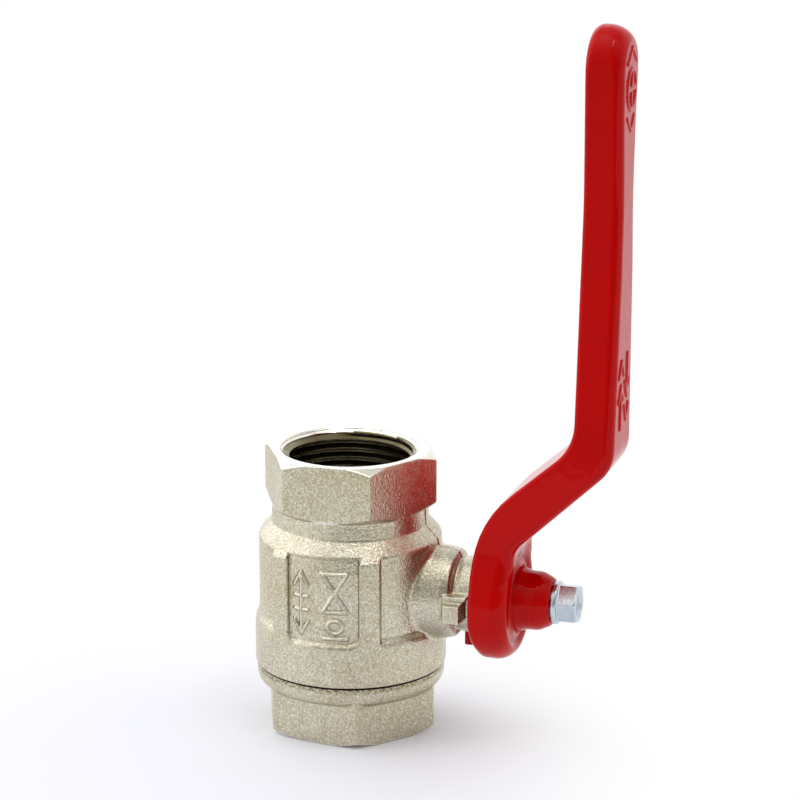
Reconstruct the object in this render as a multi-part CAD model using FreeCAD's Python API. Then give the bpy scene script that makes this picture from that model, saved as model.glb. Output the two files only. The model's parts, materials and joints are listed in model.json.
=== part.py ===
import FreeCAD, Part
import math
import os

# Lever ball valve with two female G 3/4 pipe ports and a full-bore waterway.
# Millimetres. +Z runs up the pipe axis and the origin is the centre of the lower
# port's end face. +X runs out along the stem, towards the lever. The lever stands
# along +Z, in line with the pipe, so the valve is modelled open.

Vector = FreeCAD.Vector
PIPE_AXIS = Vector(0, 0, 1)
STEM_AXIS = Vector(1, 0, 0)

# ---- Pipe ports ----
THREAD_CREST_R = 12.06        # G 3/4: 24.12 mm across the thread crests
THREAD_ROOT_R = 13.22         # G 3/4: 26.44 mm across the thread roots
THREAD_LENGTH = 10.3          # plain wall at the crest radius that stands for the thread
RUNOUT_WIDTH = 1.2            # groove at the root radius past the last turn
PORT_MOUTH_R = 14.0           # outer radius of the 45 degree lead-in
WAY_R = 10.0                  # full-bore waterway
LOWER_WEB = 3.2               # wall between the lower thread and the lower seat
UPPER_WEB = 2.6               # wall between the upper thread and the upper seat

# ---- Ball and seats ----
BALL_WALL = 5.0               # ball around its bore, at the middle
SEAT_RUNNING_GAP = 0.05       # ball to seat, so that the ball turns freely
SEAT_FIT_GAP = 0.05           # seat to its pocket
SEAT_LIP = 1.0                # seat thickness behind the edge of the waterway
SEAT_WIDTH = 3.6
SEAT_RIM = 1.0                # flat front rim outside the contact band
CAVITY_GAP = 0.40             # ball to body
BALL_EDGE = 0.5               # chamfer at the mouths of the ball's bore

# ---- Body ----
BARREL_WALL = 2.8             # wall around the ball
JOINT_STEP = 1.1              # how far the joint thread stands outside the cavity
JOINT_GAP = 0.03              # thread allowance between body and end connector
BELT_WALL = 2.6               # wall of the skirt around the joint thread
SPIGOT_LENGTH = 7.5           # depth of the joint thread
SPIGOT_END_GAP = 0.15
BELT_EDGE = 0.5
BELT_HEIGHT = 8.6             # side height of the thick belt above the seam
PAD_HEIGHT = 24.8             # front height of the pad above the seam
PAD_HALF_WIDTH = 11.0
PAD_CORNER = 1.6
PANEL_HALF_WIDTH = 7.3
PANEL_RISE = 8.7              # lower edge of the sunk panel above the seam
PANEL_CORNER = 2.0
PANEL_DEPTH = 0.7
SHOULDER_HEIGHT = 2.7         # height of the slope from the barrel to the waist
SHOULDER_ROUND = 1.5
WAIST_ROUND = 0.8
WAIST_HEIGHT = 3.3
WAIST_INSET = 0.1             # waist inside the hexagon's flats
HEX_ACROSS_FLATS = 31.0
HEX_HEIGHT = 11.4
HEX_CHAMFER_R = 15.9          # circle that the upper chamfer leaves on the end face
HEX_CHAMFER_ANGLE = math.radians(30)

# ---- End connector ----
END_COLLAR_THICKNESS = 4.4
END_COLLAR_STEP = 0.35        # collar inside the body's belt
END_COLLAR_ROUND = 2.4
END_HEX_ACROSS_FLATS = 32.0
END_HEX_TURN = -9.0           # degrees; it stopped there when it was screwed home
END_CHAMFER_R = 16.3

# ---- Neck for the stem ----
STEM_R = 5.0
STEM_GAP = 0.05               # running gap of the stem in its bore
STEM_COLLAR_R = 6.3           # inner collar that the pressure can't push out
STEM_COLLAR_THICKNESS = 2.0
STEM_COLLAR_GAP = 0.35        # collar to ball
COLLAR_BORE_GAP = 0.10
WASHER_THICKNESS = 1.0
NECK_WALL = 2.75              # wall outside the collar's pocket
NECK_LENGTH = 4.85            # thick neck beyond the thrust washer
NECK_STEP_DEPTH = 0.45        # height of the sloping face where the neck narrows
NECK_TIP_R = 7.5
NECK_TIP_LENGTH = 6.4

# ---- O-rings ----
ORING_SECTION_R = 0.70
ORING_FIT_GAP = 0.04
ORING_GROOVE_WIDTH = 1.80
ORING_FIRST = 2.2             # from the washer to the middle of the inner groove
ORING_SPACING = 4.0

# ---- Drive between stem and ball ----
SLOT_DEPTH = 3.4
SLOT_WIDTH = 5.0
TANG_SIDE_GAP = 0.05
TANG_END_GAP = 0.30
TANG_WIDTH = 10.0

# ---- Drive between stem and lever ----
DRIVE_R = 4.0
DRIVE_ACROSS_FLATS = 6.0
DRIVE_GAP = 0.05
LEVER_NECK_GAP = 0.8          # lever web to the end of the neck
STEM_END_GAP = 0.4            # stem end to the floor of the lever's socket

# ---- Stops ----
LUG_HALF_HEIGHT = 2.75
LUG_BASE_REACH = 9.5          # from the stem axis to the lug's side face
LUG_TIP_REACH = 11.6          # from the stem axis to the face of the raised block
LUG_LENGTH = 4.9
LUG_TIP_HEIGHT = 3.6
LUG_TIP_MARGIN = 0.6          # block set in from the root end of the lug
LUG_NOSE = 0.9                # how far the lug's upper part reaches past the block
LUG_LEVER_GAP = 0.9
STOP_GAP = 0.08               # lever stop to lug at each end of the travel
STOP_RIB_LENGTH = 4.6
STOP_RIB_INSET = 0.4          # outside of the stop rib inside the hub's rim
STOP_RIB_NECK_GAP = 0.8       # stop rib to the neck's tip
STOP_RIB_BEVEL_LENGTH = 1.6
STOP_RIB_BEVEL_DEPTH = 1.9

# ---- Lever ----
HUB_R = 12.4
HUB_RECESS_DEPTH = 2.9
HUB_THICKNESS = 8.0
CRANK_MARGIN = 4.55           # hub's rim to the first bend, on the inner side
CRANK_RISE = 17.1             # height of the sloping crank, on the inner side
CRANK_RUN = 19.6              # how far the crank carries the grip outwards
CRANK_FRONT_DROP = 6.2        # outer side's first bend below the inner side's
CRANK_INNER_ROUND = 22.0
CRANK_OUTER_ROUND = 5.0
GRIP_FRONT_DROP = 4.0         # outer side's second bend below the inner side's
GRIP_INNER_ROUND = 10.0
GRIP_OUTER_ROUND = 8.0
GRIP_THICKNESS = 7.7
GRIP_LEAN = 1.0               # how far the grip's far end leans outwards
LEVER_REACH = 114.6           # stem axis to the lever's tip
ARM_ROOT_INSET = 2.8          # sides of the arm's root inside the hub's rim
ARM_ROOT_SHARE = 0.5          # height of the arm's root, as a share of the hub's radius
WAIST_HALF_WIDTH = 5.4
GRIP_WAIST = 81.2             # stem axis to the narrowest place of the grip
TIP_R = 7.3
HUB_BLEND_ROUND = 6.0
GRIP_WAIST_ROUND = 70.0
LEVER_EDGE_ROUND = 1.6

# ---- Boss on the lever ----
BOSS_R = 6.0
BOSS_LENGTH = 6.4
BOSS_TIP_ROUND = 3.0
BOSS_WEB = 3.0                # end wall of the boss, under the screw's flange
DISH_INNER_GAP = 0.8
DISH_WIDTH = 2.5
DISH_DEPTH = 0.8

# ---- Lever screw, M5 with a flanged hexagon head ----
SCREW_R = 2.5
SCREW_THREAD_GAP = 0.02
SCREW_LENGTH = 11.0
SCREW_TIP_GAP = 1.0
SCREW_HOLE_GAP = 0.25         # screw to the hole in the boss
SCREW_FLANGE_R = 4.27
SCREW_FLANGE_THICKNESS = 0.9
SCREW_ACROSS_FLATS = 7.0
SCREW_HEX_HEIGHT = 4.2
SCREW_DISH_R = 2.6
SCREW_DISH_DEPTH = 0.6
SCREW_CHAMFER = 0.35

# ---- Heights along the pipe axis ----
ball_r = WAY_R + BALL_WALL
seat_outer_r = WAY_R + SEAT_WIDTH
mouth_depth = PORT_MOUTH_R - THREAD_CREST_R
port_depth = mouth_depth + THREAD_LENGTH + RUNOUT_WIDTH
seat_back = math.sqrt(ball_r ** 2 - WAY_R ** 2) + SEAT_LIP
seat_contact_r = seat_outer_r - SEAT_RIM
seat_front = math.sqrt(ball_r ** 2 - seat_contact_r ** 2)
ball_z = port_depth + LOWER_WEB + seat_back
top_z = ball_z + seat_back + UPPER_WEB + port_depth
spigot_top_z = ball_z - seat_front - SPIGOT_END_GAP
seam_z = spigot_top_z - SPIGOT_LENGTH
hex_base_z = top_z - HEX_HEIGHT
shoulder_z = hex_base_z - WAIST_HEIGHT - SHOULDER_HEIGHT

# ---- Radii about the pipe axis ----
cavity_r = ball_r + CAVITY_GAP
pocket_r = seat_outer_r + SEAT_FIT_GAP
barrel_r = cavity_r + BARREL_WALL
joint_bore_r = cavity_r + JOINT_STEP
spigot_r = joint_bore_r - JOINT_GAP
belt_r = joint_bore_r + BELT_WALL
waist_r = HEX_ACROSS_FLATS / 2 - WAIST_INSET
end_collar_r = belt_r - END_COLLAR_STEP

# ---- Distances along the stem axis ----
slot_floor_x = ball_r - SLOT_DEPTH
stem_collar_x = ball_r + STEM_COLLAR_GAP
washer_x = stem_collar_x + STEM_COLLAR_THICKNESS
bore_x = washer_x + WASHER_THICKNESS
neck_step_x = bore_x + NECK_LENGTH
neck_end_x = neck_step_x + NECK_TIP_LENGTH
stem_shoulder_x = neck_end_x + LEVER_NECK_GAP
hub_back_x = stem_shoulder_x - HUB_RECESS_DEPTH
hub_front_x = hub_back_x + HUB_THICKNESS
boss_end_x = hub_front_x + BOSS_LENGTH
socket_end_x = boss_end_x - BOSS_WEB
stem_end_x = socket_end_x - STEM_END_GAP
collar_bore_r = STEM_COLLAR_R + COLLAR_BORE_GAP
stem_bore_r = STEM_R + STEM_GAP
neck_r = collar_bore_r + NECK_WALL
recess_r = NECK_TIP_R + STOP_RIB_NECK_GAP
stop_rib_outer_r = HUB_R - STOP_RIB_INSET
lug_end_x = hub_back_x - LUG_LEVER_GAP
BALL_CENTRE = Vector(0, 0, ball_z)


# ---- Drawing helpers ----
def pipe_plane(point):
    """Radius and height about the pipe axis."""
    return Vector(point.x, 0, point.y)


def stem_plane(point):
    """Distance along the stem axis and radius about it."""
    return Vector(point.x, 0, ball_z + point.y)


def lever_outline_plane(point):
    """Y and height above the stem axis, seen from the lever's side."""
    return Vector(0, point.x, ball_z + point.y)


def rounded_wire(corners, place):
    """A closed wire through (u, v) or (u, v, radius) corners, with tangent arcs at the radii."""
    points = [Vector(corner[0], corner[1], 0) for corner in corners]
    turns = []
    for index, corner in enumerate(corners):
        here = points[index]
        radius = corner[2] if len(corner) > 2 else 0
        if radius == 0:
            turns.append((here, None, here))
            continue
        back = (points[index - 1] - here).normalize()
        ahead = (points[(index + 1) % len(points)] - here).normalize()
        half = back.getAngle(ahead) / 2
        reach = radius / math.tan(half)
        middle = here + (back + ahead).normalize() * (radius / math.sin(half) - radius)
        turns.append((here + back * reach, middle, here + ahead * reach))
    edges = []
    for index, (start, middle, end) in enumerate(turns):
        if middle is not None:
            edges.append(Part.Arc(place(start), place(middle), place(end)).toShape())
        following = turns[(index + 1) % len(turns)][0]
        if (following - end).Length > 1e-6:
            edges.append(Part.makeLine(place(end), place(following)))
    return Part.Wire(edges)


def turned(corners, place=pipe_plane, centre=Vector(0, 0, 0), axis=PIPE_AXIS):
    """A solid of revolution about the pipe axis."""
    return Part.Face(rounded_wire(corners, place)).revolve(centre, axis, 360)


def turned_on_stem(corners):
    """A solid of revolution about the stem axis, from (distance, radius) corners."""
    return turned(corners, stem_plane, BALL_CENTRE, STEM_AXIS)


def rod(radius, start_x, end_x):
    """A round bar on the stem axis."""
    return Part.makeCylinder(radius, end_x - start_x, Vector(start_x, 0, ball_z), STEM_AXIS)


def disc(radius, start_z, end_z):
    """A round bar on the pipe axis."""
    return Part.makeCylinder(radius, end_z - start_z, Vector(0, 0, start_z), PIPE_AXIS)


def block(low_x, high_x, low_y, high_y, low_z, high_z):
    """A rectangular block from its limits."""
    size = (high_x - low_x, high_y - low_y, high_z - low_z)
    return Part.makeBox(*size, Vector(low_x, low_y, low_z))


def hexagon(across_flats, turn, length, base, axis):
    """A hexagonal prism whose first corner stands at the angle turn."""
    corner_r = across_flats / math.sqrt(3)
    angles = [math.radians(turn + 60 * side) for side in range(7)]
    points = [Vector(corner_r * math.cos(a), corner_r * math.sin(a), 0) for a in angles]
    prism = Part.Face(Part.makePolygon(points)).extrude(PIPE_AXIS * length)
    prism.Placement = FreeCAD.Placement(base, FreeCAD.Rotation(PIPE_AXIS, axis))
    return prism


def port_profile(face_z, inwards):
    """Radius and height corners of a port, from its mouth to the waterway's web."""
    thread_z = face_z + inwards * mouth_depth
    runout_z = thread_z + inwards * THREAD_LENGTH
    web_z = face_z + inwards * port_depth
    return [(PORT_MOUTH_R, face_z), (THREAD_CREST_R, thread_z), (THREAD_CREST_R, runout_z),
            (THREAD_ROOT_R, runout_z), (THREAD_ROOT_R, web_z), (WAY_R, web_z)]


# ---- Pressure-holding parts ----
def chamfer_rise(outer_r, inner_r):
    """Height that a hexagon's end chamfer takes between two radii."""
    return (outer_r - inner_r) * math.tan(HEX_CHAMFER_ANGLE)


def body_hexagon():
    """The upper spanner hexagon, chamfered above and below."""
    prism = hexagon(HEX_ACROSS_FLATS, 0, HEX_HEIGHT, Vector(0, 0, hex_base_z), PIPE_AXIS)
    wide_r = HEX_ACROSS_FLATS
    under = turned([
        (0, hex_base_z), (waist_r, hex_base_z), (wide_r, hex_base_z + chamfer_rise(wide_r, waist_r)),
        (wide_r, 2 * top_z), (0, 2 * top_z)])
    cap = turned([
        (0, 0), (wide_r, 0), (wide_r, top_z - chamfer_rise(wide_r, HEX_CHAMFER_R)),
        (HEX_CHAMFER_R, top_z), (0, top_z)])
    return prism.common(under).common(cap)


def body_shell():
    """The turned outside of the body, from the seam to the root of the hexagon."""
    pad_top_z = seam_z + PAD_HEIGHT
    return turned([
        (0, seam_z), (belt_r, seam_z, BELT_EDGE), (belt_r, pad_top_z, BELT_EDGE),
        (barrel_r, pad_top_z + belt_r - barrel_r), (barrel_r, shoulder_z, SHOULDER_ROUND),
        (waist_r, shoulder_z + SHOULDER_HEIGHT, WAIST_ROUND), (waist_r, hex_base_z), (0, hex_base_z)])


def front_cut(low_x, high_x, low_z, corner, floor_r):
    """What a cut between two X limits takes off the body, down to a radius."""
    high_z = shoulder_z
    wire = rounded_wire([
        (low_x, low_z, corner), (high_x, low_z, corner), (high_x, high_z), (low_x, high_z)], pipe_plane)
    slab = Part.Face(wire).extrude(Vector(0, 4 * belt_r, 0))
    slab.translate(Vector(0, -2 * belt_r, 0))
    return slab.cut(disc(floor_r, 0, top_z))


def body_lugs():
    """The two stop lugs on the sides of the neck."""
    root_x = lug_end_x - LUG_LENGTH
    block_end_x = lug_end_x - LUG_NOSE
    low_z = ball_z - LUG_HALF_HEIGHT
    high_z = ball_z + LUG_HALF_HEIGHT
    tip_top_z = low_z + LUG_TIP_HEIGHT
    side = Part.Face(rounded_wire([
        (root_x, low_z), (block_end_x, low_z), (block_end_x, tip_top_z),
        (lug_end_x, tip_top_z + LUG_NOSE), (lug_end_x, high_z), (root_x, high_z)], pipe_plane))
    base = side.extrude(Vector(0, 2 * LUG_BASE_REACH, 0))
    base.translate(Vector(0, -LUG_BASE_REACH, 0))
    tip = block(root_x + LUG_TIP_MARGIN, block_end_x, -LUG_TIP_REACH, LUG_TIP_REACH, low_z, tip_top_z)
    return base.fuse(tip)


def body_neck():
    """The neck that carries the stem."""
    return turned_on_stem([
        (0, 0), (0, neck_r), (neck_step_x, neck_r), (neck_step_x + NECK_STEP_DEPTH, NECK_TIP_R),
        (neck_end_x, NECK_TIP_R, NECK_STEP_DEPTH), (neck_end_x, 0)])


def body_inside():
    """The joint thread, the ball's cavity, the upper seat's pocket and the upper port."""
    corners = [
        (0, seam_z - 1), (joint_bore_r, seam_z - 1), (joint_bore_r, spigot_top_z + SPIGOT_END_GAP),
        (cavity_r, spigot_top_z + SPIGOT_END_GAP), (cavity_r, ball_z + seat_front),
        (pocket_r, ball_z + seat_front), (pocket_r, ball_z + seat_back), (WAY_R, ball_z + seat_back)]
    corners += reversed(port_profile(top_z, -1))
    corners += [(PORT_MOUTH_R, top_z + 1), (0, top_z + 1)]
    return turned(corners)


def make_body():
    """The forged body, with its neck, stop lugs and upper port."""
    shell = body_shell().fuse(body_hexagon())
    for side in (-1, 1):
        limits = sorted((side * PAD_HALF_WIDTH, side * 2 * belt_r))
        shell = shell.cut(front_cut(*limits, seam_z + BELT_HEIGHT, PAD_CORNER, barrel_r))
    panel = front_cut(-PANEL_HALF_WIDTH, PANEL_HALF_WIDTH, seam_z + PANEL_RISE, PANEL_CORNER,
                      belt_r - PANEL_DEPTH)
    shell = shell.cut(panel)
    shell = shell.fuse(body_neck()).fuse(body_lugs())
    shell = shell.cut(body_inside())
    shell = shell.cut(rod(collar_bore_r, WAY_R, bore_x))
    return shell.cut(rod(stem_bore_r, bore_x - 1, neck_end_x + 1))


def make_end_connector():
    """The threaded insert that closes the body, holds the lower seat and carries the lower port."""
    collar_z = seam_z - END_COLLAR_THICKNESS
    hex_top_z = collar_z + END_COLLAR_ROUND
    collar = turned([
        (0, collar_z), (end_collar_r, collar_z, END_COLLAR_ROUND), (end_collar_r, seam_z, BELT_EDGE),
        (spigot_r, seam_z), (spigot_r, spigot_top_z), (0, spigot_top_z)])
    wide_r = END_HEX_ACROSS_FLATS
    prism = hexagon(END_HEX_ACROSS_FLATS, END_HEX_TURN, hex_top_z, Vector(0, 0, 0), PIPE_AXIS)
    envelope = turned([
        (0, 0), (END_CHAMFER_R, 0), (wide_r, chamfer_rise(wide_r, END_CHAMFER_R)),
        (wide_r, hex_top_z), (0, hex_top_z)])
    inside = [(PORT_MOUTH_R, -1)] + port_profile(0, 1)
    inside += [(WAY_R, ball_z - seat_back), (pocket_r, ball_z - seat_back), (pocket_r, spigot_top_z + 1)]
    inside += [(0, spigot_top_z + 1), (0, -1)]
    return collar.fuse(prism.common(envelope)).cut(turned(inside)).removeSplitter()


def make_seat(side):
    """A seat ring; side is 1 above the ball and -1 below it."""
    ring = turned([
        (WAY_R, ball_z + side * seat_front), (seat_outer_r, ball_z + side * seat_front),
        (seat_outer_r, ball_z + side * seat_back), (WAY_R, ball_z + side * seat_back)])
    return ring.cut(Part.makeSphere(ball_r + SEAT_RUNNING_GAP, BALL_CENTRE))


def make_ball():
    """The ball, bored through and slotted across the bore for the stem's tang."""
    rim_z = math.sqrt(ball_r ** 2 - WAY_R ** 2)
    ball = Part.makeSphere(ball_r, BALL_CENTRE).cut(disc(WAY_R, 0, top_z))
    for side in (-1, 1):
        face_z = ball_z + side * (rim_z + BALL_EDGE)
        ball = ball.cut(turned([
            (0, face_z), (WAY_R + 2 * BALL_EDGE, face_z), (WAY_R, face_z - side * 2 * BALL_EDGE),
            (0, face_z - side * 2 * BALL_EDGE)]))
    half_slot = SLOT_WIDTH / 2
    slot = block(slot_floor_x, ball_r + 1, -ball_r, ball_r, ball_z - half_slot, ball_z + half_slot)
    return ball.cut(slot)


# ---- Stem and its seals ----
def oring_groove_floor_r():
    """Floor of the stem's O-ring grooves."""
    return stem_bore_r - 2 * ORING_SECTION_R - 2 * ORING_FIT_GAP


def oring_x(index):
    """Middle of an O-ring along the stem."""
    return bore_x + ORING_FIRST + index * ORING_SPACING


def make_stem():
    """The stem: tang, inner collar, grooved shank and the tapped drive end."""
    shank = rod(STEM_COLLAR_R, stem_collar_x, washer_x).fuse(rod(STEM_R, washer_x, stem_shoulder_x))
    for index in range(2):
        start_x = oring_x(index) - ORING_GROOVE_WIDTH / 2
        ring = rod(STEM_R + 1, start_x, start_x + ORING_GROOVE_WIDTH)
        shank = shank.cut(ring.cut(rod(oring_groove_floor_r(), start_x, start_x + ORING_GROOVE_WIDTH)))
    half_tang = SLOT_WIDTH / 2 - TANG_SIDE_GAP
    tang = block(slot_floor_x + TANG_END_GAP, stem_collar_x, -TANG_WIDTH / 2, TANG_WIDTH / 2,
                 ball_z - half_tang, ball_z + half_tang)
    tang = tang.common(rod(STEM_COLLAR_R, 0, washer_x))
    drive = drive_bar(0, stem_shoulder_x, stem_end_x)
    hole = rod(SCREW_R + SCREW_THREAD_GAP, boss_end_x - SCREW_LENGTH - SCREW_TIP_GAP, stem_end_x + 1)
    return shank.fuse([tang, drive]).cut(hole).removeSplitter()


def drive_bar(gap, start_x, end_x):
    """The stem's end with two flats, or its hole when the gap is more than nothing."""
    half = DRIVE_ACROSS_FLATS / 2 + gap
    flats = block(start_x, end_x, -half, half, ball_z - ball_r, ball_z + ball_r)
    return rod(DRIVE_R + gap, start_x, end_x).common(flats)


def make_thrust_washer():
    """The low-friction ring between the stem's collar and the body."""
    return rod(STEM_COLLAR_R, washer_x, bore_x).cut(rod(stem_bore_r, washer_x, bore_x))


def make_oring(index):
    """One of the stem's O-rings."""
    middle_r = oring_groove_floor_r() + ORING_FIT_GAP + ORING_SECTION_R
    centre = Vector(oring_x(index), 0, ball_z)
    return Part.makeTorus(middle_r, ORING_SECTION_R, centre, STEM_AXIS)


# ---- Lever and screw ----
def lever_side():
    """The lever seen from its edge: hub, sloping crank and leaning grip."""
    bottom_z = ball_z - HUB_R
    tip_z = ball_z + LEVER_REACH
    crank_z = ball_z + HUB_R + CRANK_MARGIN
    grip_z = crank_z + CRANK_RISE
    grip_x = hub_back_x + CRANK_RUN
    front_crank_z = crank_z - CRANK_FRONT_DROP
    front_grip_z = grip_z - GRIP_FRONT_DROP
    return Part.Face(rounded_wire([
        (hub_back_x, bottom_z), (hub_back_x, crank_z, CRANK_INNER_ROUND),
        (grip_x, grip_z, GRIP_INNER_ROUND), (grip_x + GRIP_LEAN, tip_z),
        (grip_x + GRIP_LEAN + GRIP_THICKNESS, tip_z),
        (grip_x + GRIP_THICKNESS, front_grip_z, GRIP_OUTER_ROUND),
        (hub_front_x, front_crank_z, CRANK_OUTER_ROUND), (hub_front_x, bottom_z)], pipe_plane))


def lever_outline():
    """The lever seen from the front: round hub, waisted arm and round tip."""
    tip_low = LEVER_REACH - TIP_R
    root_half = HUB_R - ARM_ROOT_INSET
    root_z = HUB_R * ARM_ROOT_SHARE
    arm = Part.Face(rounded_wire([
        (-root_half, root_z), (root_half, root_z),
        (WAIST_HALF_WIDTH, GRIP_WAIST, GRIP_WAIST_ROUND), (TIP_R, tip_low),
        (-TIP_R, tip_low), (-WAIST_HALF_WIDTH, GRIP_WAIST, GRIP_WAIST_ROUND)], lever_outline_plane))
    length = boss_end_x * 2
    arm = arm.extrude(STEM_AXIS * length)
    tip = Part.makeCylinder(TIP_R, length, Vector(0, 0, ball_z + tip_low), STEM_AXIS)
    outline = rod(HUB_R, 0, length).fuse([arm, tip]).removeSplitter()
    creases = [edge for edge in outline.Edges if is_hub_crease(edge)]
    return outline.makeFillet(HUB_BLEND_ROUND, creases)


def is_hub_crease(edge):
    """True for the straight edges where the arm leaves the round hub."""
    box = edge.BoundBox
    along = box.XLength > hub_front_x
    return along and ball_z < box.Center.z < ball_z + HUB_R and abs(box.Center.y) > DRIVE_R


def stop_rib():
    """The quarter-ring skirt under the hub that runs between the body's two lugs."""
    start_x = hub_back_x - STOP_RIB_LENGTH
    ring = turned_on_stem([
        (start_x, recess_r + STOP_RIB_BEVEL_DEPTH), (start_x, stop_rib_outer_r),
        (hub_back_x + 1, stop_rib_outer_r), (hub_back_x + 1, recess_r),
        (start_x + STOP_RIB_BEVEL_LENGTH, recess_r)])
    near = LUG_HALF_HEIGHT + STOP_GAP
    quarter = block(start_x, hub_back_x + 1, near, HUB_R, ball_z - HUB_R, ball_z - near)
    return ring.common(quarter)


def lever_boss():
    """The round boss under the screw's flange."""
    return turned_on_stem([
        (hub_front_x - DISH_DEPTH, 0), (hub_front_x - DISH_DEPTH, BOSS_R),
        (boss_end_x, BOSS_R, BOSS_TIP_ROUND), (boss_end_x, 0)])


def make_lever():
    """The one-piece cast lever."""
    width = 2 * HUB_R
    side = lever_side().extrude(Vector(0, width, 0))
    side.translate(Vector(0, -HUB_R, 0))
    lever = side.common(lever_outline())
    front = [edge for edge in lever.Edges if is_lever_rim(edge)]
    lever = lever.makeFillet(LEVER_EDGE_ROUND, front)
    dish = rod(BOSS_R + DISH_INNER_GAP + DISH_WIDTH, hub_front_x - DISH_DEPTH, hub_front_x + 1)
    dish = dish.cut(rod(BOSS_R + DISH_INNER_GAP, 0, boss_end_x))
    lever = lever.cut(dish).fuse([lever_boss(), stop_rib()])
    lever = lever.cut(rod(recess_r, hub_back_x - 1, stem_shoulder_x))
    lever = lever.cut(drive_bar(DRIVE_GAP, stem_shoulder_x - 1, socket_end_x))
    return lever.cut(rod(SCREW_R + SCREW_HOLE_GAP, socket_end_x - 1, boss_end_x + 1)).removeSplitter()


def is_lever_rim(edge):
    """True for every edge around the lever's front and back faces."""
    box = edge.BoundBox
    across = box.YLength > width_between_rims() and box.ZLength < 1e-3
    through = box.YLength < 1e-3 and box.ZLength < 1e-3
    return not across and not through


def width_between_rims():
    """Anything longer than this across the lever joins its two sides."""
    return 2 * WAIST_HALF_WIDTH - 1


def make_lever_screw():
    """The flanged hexagon screw that holds the lever on the stem."""
    flange_x = boss_end_x + SCREW_FLANGE_THICKNESS
    head_x = flange_x + SCREW_HEX_HEIGHT
    base = Vector(boss_end_x, 0, ball_z)
    head = hexagon(SCREW_ACROSS_FLATS, 0, head_x - boss_end_x, base, STEM_AXIS)
    corner_r = SCREW_ACROSS_FLATS / math.sqrt(3)
    crown = turned_on_stem([
        (boss_end_x, 0), (boss_end_x, corner_r + 1), (head_x - SCREW_CHAMFER - 1, corner_r + 1),
        (head_x, corner_r - SCREW_CHAMFER), (head_x, SCREW_DISH_R),
        (head_x - SCREW_DISH_DEPTH, SCREW_DISH_R - SCREW_DISH_DEPTH), (head_x - SCREW_DISH_DEPTH, 0)])
    flange = turned_on_stem([
        (boss_end_x, 0), (boss_end_x, SCREW_FLANGE_R), (flange_x, SCREW_FLANGE_R, SCREW_CHAMFER),
        (flange_x, 0)])
    shank = rod(SCREW_R, boss_end_x - SCREW_LENGTH, boss_end_x)
    return head.common(crown).fuse([flange, shank]).removeSplitter()


pieces = {
    "body": make_body(),
    "end_connector": make_end_connector(),
    "ball": make_ball(),
    "seat_ring_upper": make_seat(1),
    "seat_ring_lower": make_seat(-1),
    "stem": make_stem(),
    "stem_thrust_washer": make_thrust_washer(),
    "stem_o_ring_inner": make_oring(0),
    "stem_o_ring_outer": make_oring(1),
    "lever": make_lever(),
    "lever_screw": make_lever_screw(),
}

os.makedirs("parts", exist_ok=True)
for name, shape in pieces.items():
    shape.exportStep("parts/" + name + ".step")
    print(name, "volume", round(shape.Volume, 1), "solids", len(shape.Solids), "valid", shape.isValid())
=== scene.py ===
import itertools
import json
import math

import bmesh
import bpy
import numpy as np
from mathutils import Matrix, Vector


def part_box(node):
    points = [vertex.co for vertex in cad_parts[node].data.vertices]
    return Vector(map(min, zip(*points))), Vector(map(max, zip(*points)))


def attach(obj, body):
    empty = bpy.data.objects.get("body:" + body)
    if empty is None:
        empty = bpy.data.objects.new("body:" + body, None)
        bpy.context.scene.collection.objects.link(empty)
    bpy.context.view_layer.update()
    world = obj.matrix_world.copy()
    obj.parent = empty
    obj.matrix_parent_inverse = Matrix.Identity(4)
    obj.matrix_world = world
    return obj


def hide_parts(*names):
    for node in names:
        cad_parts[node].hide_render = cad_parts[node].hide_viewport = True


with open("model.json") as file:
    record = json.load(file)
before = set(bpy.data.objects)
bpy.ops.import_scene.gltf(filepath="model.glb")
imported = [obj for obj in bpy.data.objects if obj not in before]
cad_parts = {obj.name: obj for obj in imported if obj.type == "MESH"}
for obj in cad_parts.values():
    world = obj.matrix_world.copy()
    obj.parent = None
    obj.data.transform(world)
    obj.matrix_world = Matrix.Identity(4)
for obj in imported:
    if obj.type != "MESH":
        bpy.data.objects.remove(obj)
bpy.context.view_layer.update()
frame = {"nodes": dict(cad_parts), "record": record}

# Looks of the lever ball valve. The forged and cast pieces are modelled in millimetres as
# signed distance fields (negative inside), which gives them the soft roots and edges of real
# forgings, and are meshed and scaled to metres. The hidden pieces keep their solids.

MM = 0.001


def box_mm(node):
    """Lowest and highest corner of a CAD node in millimetres."""
    low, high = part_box(node)
    return [value / MM for value in low], [value / MM for value in high]


# ---- Sizes taken from the frame, in millimetres ----
joint = next(j for j in frame["record"]["behaviour"]["joints"] if j["name"] == "lever_turn")
STEM_Z = joint["pos_m"][2] / MM
body_low, body_high = box_mm("body")
end_high = box_mm("end_connector")[1]
lever_low, lever_high = box_mm("lever")
screw_low, screw_high = box_mm("lever_screw")
seat_low, seat_high = box_mm("seat_ring_upper")

HUB_INSET = 0.2               # how far the casting's hub and tip end inside the solid's
TIP_INSET = 0.5
TOP_Z = body_high[2]
SEAM_Z = body_low[2]
NECK_END_X = body_high[0]
BELT_R = -body_low[0]
COLLAR_R = end_high[0]
SPIGOT_TOP_Z = end_high[2]
BALL_R = box_mm("ball")[1][0]
LEVER_TOP_Z = lever_high[2]
HUB_R = STEM_Z - lever_low[2] - HUB_INSET
SEAT_R = seat_high[0]
SEAT_BACK = seat_high[2] - STEM_Z
SEAT_FRONT = seat_low[2] - STEM_Z

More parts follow.
